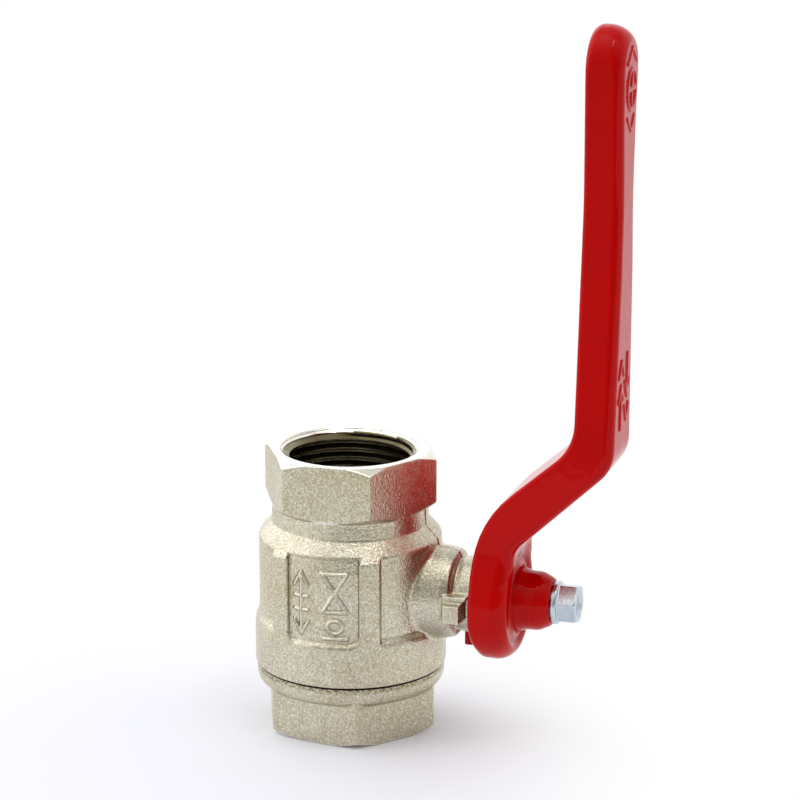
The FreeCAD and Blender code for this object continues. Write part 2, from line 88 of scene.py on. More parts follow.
# ---- Sizes that the outside shapes share ----
FORGING_STEP = 0.24           # grid steps of the meshes
LEVER_STEP = 0.26
SCREW_STEP = 0.09
MARGIN = 0.6                  # free space between a shape and the edge of its grid
FORGING_REACH = 19.6          # half width of the grids of the body and the end connector
ROOT_R = 13.22                # G 3/4 thread roots
CREST_R = 12.06               # G 3/4 thread crests
PITCH = 1.814
MOUTH_R = 14.0
PORT_DEPTH = 13.44
WAY_R = 10.0
HEX_HALF = 15.5
HEX_CHAMFER_R = 15.9
HEX_HEIGHT = 11.4
BARREL_R = 18.2
WAIST_R = 15.65
END_HEX_HALF = 16.0
END_HEX_TURN = -9.0           # degrees
END_CHAMFER_R = 16.3
CHAMFER_ANGLE = math.radians(30)
CHAMFER_SLOPE = math.tan(CHAMFER_ANGLE)
RIB_DEPTH = 4.6               # how far the stop rib stands behind the hub
HUB_THICKNESS = 8.0
HUB_BACK_X = lever_low[0] + RIB_DEPTH
HUB_FRONT_X = HUB_BACK_X + HUB_THICKNESS


# ---- Distance fields ----
class Grid:
    """Sample points of a box with a fixed step, as three open arrays."""

    def __init__(self, low, high, step):
        self.step = step
        self.low = np.array(low, np.float32)
        axes = [np.arange(a, b + step, step, dtype=np.float32) for a, b in zip(low, high)]
        self.x = axes[0][:, None, None]
        self.y = axes[1][None, :, None]
        self.z = axes[2][None, None, :]
        self.shape = tuple(len(axis) for axis in axes)


def arc_corners(corners, steps=7):
    """Points of a closed outline of (u, v) or (u, v, radius) corners, with arcs at the radii."""
    points = []
    for index, corner in enumerate(corners):
        here = np.array(corner[:2], float)
        if len(corner) < 3:
            points.append(here)
            continue
        radius = corner[2]
        back = np.array(corners[index - 1][:2], float) - here
        ahead = np.array(corners[(index + 1) % len(corners)][:2], float) - here
        back /= np.linalg.norm(back)
        ahead /= np.linalg.norm(ahead)
        half = math.acos(float(np.clip(back @ ahead, -1, 1))) / 2
        middle = (back + ahead) / np.linalg.norm(back + ahead)
        centre = here + middle * radius / math.sin(half)
        start = here + back * radius / math.tan(half) - centre
        end = here + ahead * radius / math.tan(half) - centre
        turn = math.atan2(start[0] * end[1] - start[1] * end[0], start @ end)
        for step in range(steps + 1):
            angle = turn * step / steps
            spin = np.array([[math.cos(angle), -math.sin(angle)], [math.sin(angle), math.cos(angle)]])
            points.append(centre + spin @ start)
    return points


def outline_distance(corners, u, v):
    """Signed distance to a closed outline."""
    points = arc_corners(corners)
    u, v = np.broadcast_arrays(u, v)
    nearest = np.full(u.shape, np.inf, np.float32)
    inside = np.zeros(u.shape, bool)
    for (au, av), (bu, bv) in zip(points, points[1:] + points[:1]):
        eu, ev = bu - au, bv - av
        length = eu * eu + ev * ev
        if length < 1e-12:
            continue
        wu, wv = u - au, v - av
        along = np.clip((wu * eu + wv * ev) / length, 0, 1)
        nearest = np.minimum(nearest, (wu - eu * along) ** 2 + (wv - ev * along) ** 2)
        left = eu * wv > ev * wu
        above, below = v >= av, v < bv
        inside ^= (above & below & left) | ~(above | below | left)
    return (np.sqrt(nearest) * np.where(inside, -1, 1)).astype(np.float32)


def turned(corners, radius, along):
    """Distance to a profile turned about an axis; radius is 2-D and along 1-D."""
    fine = 0.1
    table_r = np.arange(0, float(radius.max()) + 2 * fine, fine, dtype=np.float32)
    mirrored = [(-c[0],) + tuple(c[1:]) for c in reversed(corners)]
    table = outline_distance(corners + mirrored, table_r[:, None], along[None, :])
    place = radius / fine
    row = np.minimum(place.astype(np.int32), len(table_r) - 2)
    part = (place - row)[..., None]
    return table[row] * (1 - part) + table[row + 1] * part


def about_pipe(grid, corners):
    """A (radius, height) profile turned about the pipe axis."""
    radius = np.sqrt(grid.x[:, :, 0] ** 2 + grid.y[:, :, 0] ** 2)
    return turned(corners, radius, grid.z[0, 0, :])


def about_stem(grid, corners):
    """A (radius, distance) profile turned about the stem axis."""
    radius = np.sqrt(grid.y[0, :, :] ** 2 + (grid.z[0, :, :] - STEM_Z) ** 2)
    return np.moveaxis(turned(corners, radius, grid.x[:, 0, 0]), -1, 0)


def stem_cylinder(grid, radius, low, high):
    """A plain cylinder about the stem axis."""
    return about_stem(grid, [(0, low), (radius, low), (radius, high), (0, high)])


def join(a, b, blend=0.0):
    """Union, with a fillet when there is a blend."""
    if blend == 0:
        return np.minimum(a, b)
    overlap = np.maximum(blend - np.abs(a - b), 0) / blend
    return np.minimum(a, b) - overlap * overlap * blend / 4


def cut(a, b, blend=0.0):
    """What is left of a when b is taken away."""
    return -join(-a, b, blend)


def common(a, b, blend=0.0):
    """Intersection, with a rounded edge when there is a blend."""
    return -join(-a, -b, blend)


def pushed(a, b, radius):
    """Intersection of two prisms' fields with an edge of a true radius."""
    outer_a, outer_b = a + radius, b + radius
    far = np.sqrt(np.maximum(outer_a, 0) ** 2 + np.maximum(outer_b, 0) ** 2)
    return far + np.minimum(np.maximum(outer_a, outer_b), 0) - radius


def hexagon_distance(half_across, turn, u, v):
    """Signed distance to a hexagon whose first corner is at the angle turn, in degrees."""
    field = None
    for side in range(6):
        angle = math.radians(turn + 30 + 60 * side)
        face = u * math.cos(angle) + v * math.sin(angle) - half_across
        field = face if field is None else np.maximum(field, face)
    return field


def strokes(lines, half_width, u, v):
    """Signed distance to pen strokes, each a list of points."""
    field = None
    for line in lines:
        for (au, av), (bu, bv) in zip(line, line[1:]):
            eu, ev = bu - au, bv - av
            along = np.clip(((u - au) * eu + (v - av) * ev) / (eu * eu + ev * ev), 0, 1)
            near = np.sqrt((u - au - eu * along) ** 2 + (v - av - ev * along) ** 2) - half_width
            field = near if field is None else np.minimum(field, near)
    return field



def ring_points(centre_u, centre_v, radius_u, radius_v, count=20):
    """A closed oval line."""
    angles = [2 * math.pi * step / count for step in range(count + 1)]
    return [(centre_u + radius_u * math.cos(a), centre_v + radius_v * math.sin(a)) for a in angles]


def chevron(u, v, half_width, rise):
    """An arrowhead's two strokes, which start at the height v and meet at v + rise."""
    return [(u - half_width, v), (u, v + rise), (u + half_width, v)]


def eased(share):
    """A share of 0 to 1 with a soft start and a soft end."""
    return share * share * (3 - 2 * share)


def raised(field, height, slope):
    """Height of a relief whose strokes have the given distance field."""
    return height * eased(np.clip(0.5 - field / slope, 0, 1))


# ---- Meshing ----
CORNERS = list(itertools.product((0, 1), repeat=3))
SETTLING_STEPS = 2            # moves of the points onto the surface
LEAST_SLOPE = 0.05            # keeps those moves short where the field is flat


def sampled(field, grid, points):
    """The field at points between the grid's samples."""
    place = (points - grid.low) / grid.step
    cell = np.clip(place.astype(np.int32), 0, np.array(grid.shape) - 2)
    part = place - cell
    total = np.zeros(len(points), np.float32)
    for corner in CORNERS:
        share = np.prod(np.where(np.array(corner), part, 1 - part), axis=1)
        total += share * field[cell[:, 0] + corner[0], cell[:, 1] + corner[1], cell[:, 2] + corner[2]]
    return total


def slope_of(field, grid, points):
    """Gradient of the field at points."""
    shift = np.eye(3) * grid.step * 0.5
    sides = [sampled(field, grid, points + s) - sampled(field, grid, points - s) for s in shift]
    return np.stack(sides, axis=1) / grid.step


def crossed_cells(inside):
    """The cells that the surface passes through, and a grid of their numbers, -1 elsewhere."""
    cells_shape = tuple(size - 1 for size in inside.shape)
    count = np.zeros(cells_shape, np.uint8)
    for corner in CORNERS:
        spans = tuple(slice(c, c + n) for c, n in zip(corner, cells_shape))
        count += inside[spans]
    active = (count > 0) & (count < len(CORNERS))
    cells = np.argwhere(active)
    number = np.full(cells_shape, -1, np.int32)
    number[active] = np.arange(len(cells))
    return cells, number


def cell_points(field, cells):
    """The middle of each cell's edge crossings, in grid steps."""
    total = np.zeros((len(cells), 3))
    crossings = np.zeros(len(cells))
    for axis in range(3):
        others = [a for a in range(3) if a != axis]
        for sides in itertools.product((0, 1), repeat=2):
            start = np.zeros(3, int)
            start[others] = sides
            end = start.copy()
            end[axis] = 1
            value_a = field[tuple((cells + start).T)]
            value_b = field[tuple((cells + end).T)]
            crossed = (value_a < 0) != (value_b < 0)
            part = np.where(crossed, value_a / np.where(crossed, value_a - value_b, 1), 0)
            total += np.where(crossed[:, None], start + part[:, None] * (end - start), 0)
            crossings += crossed
    return cells + total / crossings[:, None]


def cell_quads(inside, number):
    """A quad around each grid edge that the surface crosses, wound to face outwards."""
    quads = []
    for axis in range(3):
        b, c = (axis + 1) % 3, (axis + 2) % 3
        lower = [slice(None)] * 3
        upper = [slice(None)] * 3
        lower[axis], upper[axis] = slice(None, -1), slice(1, None)
        edges = np.argwhere(inside[tuple(lower)] != inside[tuple(upper)])
        corners = []
        for step_b, step_c in ((-1, -1), (0, -1), (0, 0), (-1, 0)):
            near = edges.copy()
            near[:, b] += step_b
            near[:, c] += step_c
            corners.append(number[tuple(near.T)])
        ring = np.stack(corners, axis=1)
        outward = inside[tuple(edges.T)]
        ring[~outward] = ring[~outward][:, ::-1]
        quads.append(ring)
    return np.concatenate(quads)


def surface_net(field, grid):
    """Points, quads and normals of the field's zero surface."""
    inside = field < 0
    cells, number = crossed_cells(inside)
    points = cell_points(field, cells) * grid.step + grid.low
    for _ in range(SETTLING_STEPS):
        slope = slope_of(field, grid, points)
        size = np.maximum((slope ** 2).sum(axis=1), LEAST_SLOPE)
        move = -(sampled(field, grid, points) / size)[:, None] * slope
        points += np.clip(move, -grid.step, grid.step)
    normals = slope_of(field, grid, points)
    normals /= np.maximum(np.linalg.norm(normals, axis=1), 1e-9)[:, None]
    return points, cell_quads(inside, number), normals


def piece_from(name, points, faces, normals, body, nodes, materials, pick=None):
    """A smooth mesh object that rides on a body; pick gives each face its material."""
    mesh = bpy.data.meshes.new(name)
    mesh.vertices.add(len(points))
    mesh.vertices.foreach_set("co", (points * MM).astype(np.float32).ravel())
    mesh.loops.add(faces.size)
    mesh.loops.foreach_set("vertex_index", faces.astype(np.int32).ravel())
    mesh.polygons.add(len(faces))
    mesh.polygons.foreach_set("loop_start", np.arange(len(faces), dtype=np.int32) * faces.shape[1])
    for material in materials:
        mesh.materials.append(material)
    if pick is not None:
        mesh.polygons.foreach_set("material_index", pick(points[faces].mean(axis=1)).astype(np.int32))
    mesh.update(calc_edges=True)
    mesh.validate()
    mesh.shade_smooth()
    mesh.normals_split_custom_set_from_vertices(normals.tolist())
    thing = bpy.data.objects.new(name, mesh)
    bpy.context.scene.collection.objects.link(thing)
    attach(thing, body)
    if nodes:
        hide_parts(*nodes)
    return thing


def bare_piece(name, build, body, nodes, materials, pick=None):
    """A piece from a field builder: build() gives the grid and the field."""
    grid, field = build()
    points, quads, normals = surface_net(field, grid)
    thing = piece_from(name, points, quads, normals, body, nodes, materials, pick)
    hollow_attribute(thing, field, grid, points, normals)
    return thing


def hollow_attribute(thing, field, grid, points, normals):
    """Store how hollow (above 0.5) or proud (below 0.5) the surface is, for the painted shade in the roots
    and the painted highlights on the edges.
    """
    reach, gain = 0.6, 0.45
    out = sampled(field, grid, points + normals * reach) / reach
    deep = sampled(field, grid, points - normals * reach) / reach
    value = np.clip(0.5 - (deep + out) * gain, 0, 1)
    attribute = thing.data.attributes.new("hollow", "FLOAT", "POINT")
    attribute.data.foreach_set("value", value.astype(np.float32))


# ---- Materials ----
class Tree:
    """Short forms for building a node tree."""

    def __init__(self, tree):
        self.tree = tree

    def node(self, kind, **settings):
        node = self.tree.nodes.new("ShaderNode" + kind)
        for key, value in settings.items():
            setattr(node, key, value)
        return node

    def link(self, source, target):
        self.tree.links.new(source, target)

    def feed(self, socket, value):
        """Give a socket a plain value or another node's output."""
        if isinstance(value, (int, float, tuple)):
            socket.default_value = value
        else:
            self.link(value, socket)

    def span(self, source, low, high, to_low=0.0, to_high=1.0, way="LINEAR"):
        """Map low..high to to_low..to_high, and hold those values beyond."""
        node = self.node("MapRange", clamp=True, interpolation_type=way)
        self.link(source, node.inputs["Value"])
        for key, value in zip(("From Min", "From Max", "To Min", "To Max"), (low, high, to_low, to_high)):
            node.inputs[key].default_value = value
        return node.outputs["Result"]

    def math(self, operation, a, b=0.0):
        node = self.node("Math", operation=operation)
        for socket, value in zip(node.inputs, (a, b)):
            self.feed(socket, value)
        return node.outputs["Value"]

    def mix(self, factor, a, b):
        """Mix two colours; the Mix node's colour sockets are inputs 6 and 7 and output 2."""
        node = self.node("Mix", data_type="RGBA")
        self.link(factor, node.inputs["Factor"])
        self.feed(node.inputs[6], a)
        self.feed(node.inputs[7], b)
        return node.outputs[2]


class Nodes(Tree):
    """A material with a Principled shader, and short forms for its texture nodes."""

    def __init__(self, name, **inputs):
        self.material = bpy.data.materials.new(name)
        self.material.use_nodes = True
        super().__init__(self.material.node_tree)
        self.shader = self.tree.nodes["Principled BSDF"]
        for key, value in inputs.items():
            self.shader.inputs[key.replace("_", " ")].default_value = value
        self.place = self.node("TexCoord").outputs["Object"]

    def set(self, key, source):
        self.link(source, self.shader.inputs[key])

    def noise(self, scale, detail=3.0, roughness=0.55):
        node = self.node("TexNoise")
        self.link(self.place, node.inputs["Vector"])
        node.inputs["Scale"].default_value = scale
        node.inputs["Detail"].default_value = detail
        node.inputs["Roughness"].default_value = roughness
        return node.outputs["Fac"]

    def attribute(self, name):
        return self.node("Attribute", attribute_name=name).outputs["Fac"]

    def distance_from_height(self, height_mm):
        """How far above or below a height the surface is, in metres."""
        axes = self.node("SeparateXYZ")
        self.link(self.place, axes.inputs["Vector"])
        return self.math("ABSOLUTE", self.math("SUBTRACT", axes.outputs["Z"], height_mm * MM))

    def bump(self, source, distance, strength=1.0, after=None):
        node = self.node("Bump")
        node.inputs["Distance"].default_value = distance
        node.inputs["Strength"].default_value = strength
        self.link(source, node.inputs["Height"])
        if after is not None:
            self.link(after, node.inputs["Normal"])
        return node.outputs["Normal"]

    def clouds(self, scale, detail, low, high, first, second):
        """Base colour in soft clouds of two colours."""
        share = self.span(self.noise(scale, detail), low, high)
        self.set("Base Color", self.mix(share, linear(*first), linear(*second)))

    def uneven(self, scale, low, high):
        """Roughness that wanders between two values."""
        self.set("Roughness", self.span(self.noise(scale, 2.0), 0.3, 0.7, low, high))

    def grain(self, scale, distance, strength=0.4):
        self.set("Normal", self.bump(self.noise(scale, 2.0), distance, strength))


def linear(red, green, blue):
    """An sRGB colour of 0 to 255 as linear RGBA."""
    values = [v / 255 for v in (red, green, blue)]
    return tuple(v / 12.92 if v <= 0.04045 else ((v + 0.055) / 1.055) ** 2.4 for v in values) + (1.0,)


def blasted_nickel():
    """Shot-blasted forging under pearl nickel plate."""
    n = Nodes("blasted_nickel", Metallic=1.0, Roughness=0.33)
    grain = n.noise(1300, 1.0, 0.5)
    fine = n.noise(2500, 1.0, 0.5)
    patches = n.noise(420, 3.0, 0.6)
    clouds = n.noise(60, 3.0, 0.5)
    hollow = n.attribute("hollow")
    groove = n.span(n.distance_from_height(SEAM_Z - 0.55), 0.0003, 0.0009, 0.8, 0.0)
    layers = [
        (n.span(patches, 0.52, 0.75, 0.0, 0.4), (180, 166, 128)),      # thin plate
        (n.span(fine, 0.28, 0.5, 0.5, 0.0), (150, 138, 106)),          # pits of the blasting
        (n.span(fine, 0.52, 0.72, 0.0, 0.55), (246, 244, 236)),        # and their rims
        (n.span(hollow, 0.62, 0.78, 0.0, 0.8), (78, 64, 40)),          # painted shade in the roots, darker where the surface is hollow
        (n.span(hollow, 0.25, 0.42, 0.6, 0.0), (242, 240, 232)),       # painted highlight on the proud edges
        (n.math("MULTIPLY", groove, n.span(n.noise(2600, 2.0), 0.42, 0.56)), (116, 100, 56)),
        # painted shadow line in the seam between the body and the end connector
        (n.span(n.distance_from_height(SEAM_Z - 0.05), 0.0002, 0.0003, 1.0, 0.0), (40, 34, 24))]
    colour = n.mix(n.span(clouds, 0.35, 0.65), linear(208, 203, 183), linear(198, 190, 164))
    for share, layer in layers:
        colour = n.mix(share, colour, linear(*layer))
    n.set("Base Color", colour)
    n.set("Roughness", n.span(patches, 0.3, 0.7, 0.29, 0.38))
    n.set("Normal", n.bump(grain, 0.00006, 1.0, n.bump(fine, 0.00009, 1.0)))
    return n.material


def turned_nickel():
    """Nickel plate over machined faces, with fine tool marks."""
    n = Nodes("turned_nickel", Metallic=1.0, Roughness=0.2)
    n.clouds(160, 3.0, 0.35, 0.65, (250, 248, 240), (238, 233, 216))
    n.uneven(900, 0.14, 0.26)
    n.grain(1800, 0.00004, 0.35)
    return n.material


def bore_nickel():
    """Threads and waterway, where the plate is thin and the brass shows through."""
    n = Nodes("bore_nickel", Metallic=1.0, Roughness=0.28)
    n.clouds(220, 3.0, 0.3, 0.7, (136, 127, 100), (106, 94, 62))
    n.uneven(1500, 0.14, 0.22)
    n.grain(2200, 0.00001)
    return n.material


def red_enamel():
    """Thick glossy red enamel over the cast lever."""
    n = Nodes("red_enamel", Metallic=0.0, Roughness=0.4, Specular_IOR_Level=0.0, Coat_Weight=1.0,
              Coat_Roughness=0.03, Coat_IOR=1.22)
    n.clouds(90, 3.0, 0.3, 0.7, (195, 0, 0), (186, 0, 0))
    n.uneven(1200, 0.36, 0.46)
    flow = n.bump(n.noise(240, 2.0), 0.00022, 0.2)
    n.set("Normal", flow)
    n.set("Coat Normal", flow)
    return n.material


def zinc_plate():
    """Blue passivated zinc on the lever's screw."""
    n = Nodes("zinc_plate", Metallic=1.0, Roughness=0.26)
    n.clouds(500, 3.0, 0.35, 0.65, (206, 214, 216), (186, 200, 214))
    n.uneven(1400, 0.18, 0.34)
    n.grain(2600, 0.00001)
    return n.material


def chrome():
    """Hard chrome on the ball."""
    n = Nodes("chrome_ball", Metallic=1.0, Roughness=0.07)
    n.clouds(300, 2.0, 0.3, 0.7, (222, 224, 226), (212, 214, 218))
    n.uneven(1800, 0.05, 0.11)
    return n.material


def seat_plastic():
    """White low-friction plastic of the seats and the washer."""
    n = Nodes("ptfe", Roughness=0.4, Subsurface_Weight=0.1, Subsurface_Scale=0.001)
    n.clouds(400, 2.0, 0.3, 0.7, (238, 238, 234), (230, 230, 225))
    n.uneven(1500, 0.34, 0.46)
    n.grain(3000, 0.00003)
    return n.material


def stem_brass():
    """Turned brass of the stem."""
    n = Nodes("stem_brass", Metallic=1.0, Roughness=0.25)
    n.clouds(300, 3.0, 0.3, 0.7, (214, 180, 106), (198, 160, 88))
    n.uneven(1500, 0.18, 0.32)
    n.grain(2400, 0.00004)
    return n.material


def seal_rubber():
    """Black nitrile of the O-rings."""
    n = Nodes("seal_rubber", Roughness=0.55)
    n.clouds(900, 3.0, 0.3, 0.7, (26, 26, 27), (36, 36, 36))
    n.grain(4000, 0.00003)
    return n.material


blasted = blasted_nickel()
machined = turned_nickel()
bore = bore_nickel()
enamel = red_enamel()
zinc = zinc_plate()


# ---- Body forging ----
HEX_BASE_Z = TOP_Z - HEX_HEIGHT
SHOULDER_Z = HEX_BASE_Z - 6.0
PAD_TOP_Z = SHOULDER_Z - 1.2
RELIEF_Z = SEAM_Z + 8.2       # top of the plain belt, above which the sides step in
PAD_HALF = 11.0               # half width of the pads that stay proud between those sides
PANEL_Z = SEAM_Z + 8.3
PANEL_HALF = 7.5
PANEL_FLOOR_R = BELT_R - 0.8
JOINT_BORE_R = BELT_R - 2.6
JOINT_GAP = 0.15
BALL_ROOM = 0.4
SEAT_PLAY = 0.05
NECK_R = 9.6
NECK_TIP_R = 7.5
NECK_STEP_X = 23.2
STEM_BORE_R = 5.05
COLLAR_BORE_R = 6.4           # bore of the stem's collar and its washer
COLLAR_BORE_END_X = 18.35
LUG_BASE_Z = STEM_Z - 2.75
LUG_END_X = HUB_BACK_X - 0.9
LUG_DEPTH = 4.9
LUG_HALF = 9.5                # half width over both stop lugs, and over their tips
LUG_TIP_HALF = 11.6
THREAD_WALL_R = 13.6          # where the body stops and the thread's own piece starts
OUTER_TURN = 0.4              # depth of the mouth cone at that radius
LEAD_IN = 0.9                 # depth of the whole mouth cone


def port_corners(face_z, inwards):
    """The port's outline inside the body or the end connector, from its mouth inwards."""
    floor_z = face_z + inwards * PORT_DEPTH
    return [(MOUTH_R, face_z - inwards), (MOUTH_R, face_z), (THREAD_WALL_R, face_z + inwards * OUTER_TURN),
            (THREAD_WALL_R, floor_z), (WAY_R, floor_z)]


def body_marks(x, z):
    """Generic valve signs in two columns on the sunk panel: plain strokes, no words."""
    left, right, middle = -4.3, 2.6, STEM_Z + 1.18
    lines = [[(left, middle - 5.6), (left, middle + 5.6)]]
    for way in (-1, 1):
        lines.append(chevron(left, middle + 3.6 * way, 1.5, 2.8 * way))
        lines.append([(left - 1.4, middle + 1.4 * way), (left + 1.4, middle + 1.4 * way)])
    near, far, low, high = right - 2.4, right + 2.4, middle - 1.4, middle + 6.4
    lines.append([(near, high), (far, high), (near, low), (far, low), (near, high)])
    lines.append(ring_points(right, middle - 4.4, 1.5, 1.3))
    lines.append([(near, middle - 6.8), (far, middle - 6.8)])
    return strokes(lines, 0.28, x, z)


def body_shell(grid, radius):
    """The barrel with its stepped-in sides and the sunk panel of signs."""
    x, z = grid.x, grid.z
    shell = about_pipe(grid, [
        (0, SEAM_Z), (BELT_R, SEAM_Z, 0.4), (BELT_R, PAD_TOP_Z, 0.3), (WAIST_R, SHOULDER_Z + 2.6, 0.6),
        (HEX_HALF - 0.03, HEX_BASE_Z), (HEX_HALF - 0.03, HEX_BASE_Z + 0.3), (0, HEX_BASE_Z + 0.3)])
    beyond_x, beyond_z = 30, SHOULDER_Z + 6
    relief = outline_distance([(PAD_HALF, RELIEF_Z, 1.6), (beyond_x, RELIEF_Z), (beyond_x, beyond_z),
                               (PAD_HALF, beyond_z)], np.abs(x), z)
    rise = np.clip(1 - (z - RELIEF_Z) / np.where(x < 0, 3.4, 1.8), 0, 1)
    floor_r = BARREL_R + (BELT_R - BARREL_R) * eased(rise)
    shell = cut(shell, np.maximum(relief, floor_r - radius), 0.3)
    panel_top = SHOULDER_Z - 0.1
    sunk = outline_distance([(-PANEL_HALF, PANEL_Z, 2.2), (PANEL_HALF, PANEL_Z, 2.2),
                             (PANEL_HALF, panel_top), (-PANEL_HALF, panel_top)], x, z)
    lower = np.clip((PANEL_Z + 2.2 - z) / 1.5, 0, 1)
    floor_r = PANEL_FLOOR_R - 0.3 * np.clip((z - SHOULDER_Z + 3.5) / 3.5, 0, 1)
    wall = np.clip(1 + sunk / (0.4 + 0.6 * lower), 0, 1) * (z < PAD_TOP_Z)
    floor_r = floor_r + (BELT_R - floor_r) * wall
    return cut(shell, np.maximum(sunk, floor_r + raised(body_marks(x, z), 0.45, 0.35) - radius), 0.2)


def upper_hexagon(grid, radius):
    """The hexagon around the upper port, chamfered at both ends."""
    slant = math.cos(CHAMFER_ANGLE)
    top = (grid.z - TOP_Z + (radius - HEX_CHAMFER_R) * CHAMFER_SLOPE) * slant
    base = (HEX_BASE_Z - grid.z + (radius - HEX_HALF) * CHAMFER_SLOPE) * slant
    nut = common(hexagon_distance(HEX_HALF, 0, grid.x, grid.y), np.maximum(top, grid.z - TOP_Z), 0.25)
    return common(nut, np.maximum(base, HEX_BASE_Z - grid.z), 0.4)


def with_stop_lugs(field, grid):
    """The body's field with the two stop lugs and their narrower tips."""
    x, y, z = grid.x, grid.y, grid.z
    tip_top, lug_top = LUG_BASE_Z + 3.7, STEM_Z + 2.2
    root_x, face_x, tip_x = LUG_END_X - LUG_DEPTH, LUG_END_X - 0.9, LUG_END_X - 4.3
    side = outline_distance([
        (root_x, LUG_BASE_Z), (face_x, LUG_BASE_Z), (face_x, tip_top), (LUG_END_X, tip_top + 0.9),
        (LUG_END_X, lug_top), (root_x, lug_top)], x, z)
    field = join(field, pushed(side, np.abs(y) - LUG_HALF, 0.25), 0.5)
    tip = outline_distance([(tip_x, LUG_BASE_Z), (face_x, LUG_BASE_Z), (face_x, tip_top), (tip_x, tip_top)],
                           x, z)
    return join(field, pushed(tip, np.abs(y) - LUG_TIP_HALF, 0.35), 0.4)


def build_body():
    grid = Grid((-FORGING_REACH, -FORGING_REACH, SEAM_Z - MARGIN),
                (NECK_END_X + MARGIN, FORGING_REACH, TOP_Z + MARGIN), FORGING_STEP)
    x, y, z = grid.x, grid.y, grid.z
    radius = np.sqrt(x * x + y * y)
    neck = about_stem(grid, [
        (0, 0), (NECK_R, 0), (NECK_R, 15.5), (9.1, 21.0), (8.7, 22.5, 0.8), (7.2, NECK_STEP_X),
        (NECK_TIP_R, NECK_STEP_X + 1.2), (NECK_TIP_R, NECK_END_X, 0.45), (0, NECK_END_X)])
    field = join(body_shell(grid, radius), neck, 0.8)
    parting_half, parting_height = 0.15, 0.22
    parting = np.maximum(np.maximum(np.abs(y) - parting_half, field - parting_height), RELIEF_Z + 3.6 - z)
    parting = np.maximum(np.maximum(parting, z - HEX_BASE_Z - 0.6), x - NECK_STEP_X)
    field = join(join(field, parting, 0.2), upper_hexagon(grid, radius), 0.15)
    field = with_stop_lugs(field, grid)
    room_r, seat_r = BALL_R + BALL_ROOM, SEAT_R + SEAT_PLAY
    inside = about_pipe(grid, [
        (0, SEAM_Z - 1), (JOINT_BORE_R, SEAM_Z - 1), (JOINT_BORE_R, SPIGOT_TOP_Z + JOINT_GAP),
        (room_r, SPIGOT_TOP_Z + JOINT_GAP), (room_r, STEM_Z + SEAT_FRONT), (seat_r, STEM_Z + SEAT_FRONT),
        (seat_r, STEM_Z + SEAT_BACK), (WAY_R, STEM_Z + SEAT_BACK)]
        + port_corners(TOP_Z, -1)[::-1] + [(0, TOP_Z + 1)])
    stem_way = about_stem(grid, [
        (0, WAY_R), (COLLAR_BORE_R, WAY_R), (COLLAR_BORE_R, COLLAR_BORE_END_X),
        (STEM_BORE_R, COLLAR_BORE_END_X), (STEM_BORE_R, NECK_END_X + 1), (0, NECK_END_X + 1)])
    return grid, cut(field, np.minimum(inside, stem_way))


def body_faces(centres):
    """0 for the forging, 1 for turned faces, 2 for the threads and the waterway."""
    radius = np.hypot(centres[:, 0], centres[:, 1])
    inner = (radius < THREAD_WALL_R + 0.1) & (centres[:, 2] < TOP_Z - 0.3)
    chamfer = TOP_Z - np.maximum(radius - HEX_CHAMFER_R, 0) * CHAMFER_SLOPE
    top = centres[:, 2] > chamfer - 0.15
    mouth = (radius < MOUTH_R + 0.05) & (centres[:, 2] > TOP_Z - 0.6)
    return np.where(inner, 2, np.where(top | mouth, 1, 0))


# ---- End connector ----
COLLAR_HEIGHT = 4.4


def build_end():
    grid = Grid((-FORGING_REACH, -FORGING_REACH, -0.5), (FORGING_REACH, FORGING_REACH, SPIGOT_TOP_Z + 0.5),
                FORGING_STEP)
    x, y, z = grid.x, grid.y, grid.z
    radius = np.sqrt(x * x + y * y)
    spigot_r = JOINT_BORE_R - 0.03
    collar = about_pipe(grid, [
        (0, SEAM_Z - COLLAR_HEIGHT), (COLLAR_R, SEAM_Z - COLLAR_HEIGHT, 2.4), (COLLAR_R, SEAM_Z, 0.4),
        (spigot_r, SEAM_Z), (spigot_r, SPIGOT_TOP_Z), (0, SPIGOT_TOP_Z)])
    hexagon = hexagon_distance(END_HEX_HALF, END_HEX_TURN, x, y)
    lower = (-z + (radius - END_CHAMFER_R) * CHAMFER_SLOPE) * math.cos(CHAMFER_ANGLE)
    nut = common(hexagon, np.maximum(lower, -z), 0.25)
    field = join(collar, np.maximum(nut, z - (SEAM_Z - 1.5)), 0.3)
    seat_r = SEAT_R + SEAT_PLAY
    inside = about_pipe(grid, [(0, -1)] + port_corners(0, 1) + [
        (WAY_R, STEM_Z - SEAT_BACK), (seat_r, STEM_Z - SEAT_BACK), (seat_r, SPIGOT_TOP_Z + 1),
        (0, SPIGOT_TOP_Z + 1)])
    return grid, cut(field, inside)


def end_faces(centres):
    """The same numbers as for the body."""
    radius = np.hypot(centres[:, 0], centres[:, 1])
    inner = (radius < THREAD_WALL_R + 0.1) & (centres[:, 2] > 0.3)
    chamfer = np.maximum(radius - END_CHAMFER_R, 0) * CHAMFER_SLOPE
    return np.where(inner, 2, np.where(centres[:, 2] < chamfer + 0.15, 1, 0))


# ---- Threads ----
THREAD_STEPS = 144            # steps around one turn
PROFILE_SHARES = (0, 0.07, 0.19, 0.31, 0.43, 0.5, 0.57, 0.69, 0.81, 0.93)
THREAD_FLAT = 0.14            # share of the pitch that is flat at the crests, and at the roots
RUN_OUT = 2.4                 # last stretch, where the crests fade out
WELD = 2e-6                   # metres


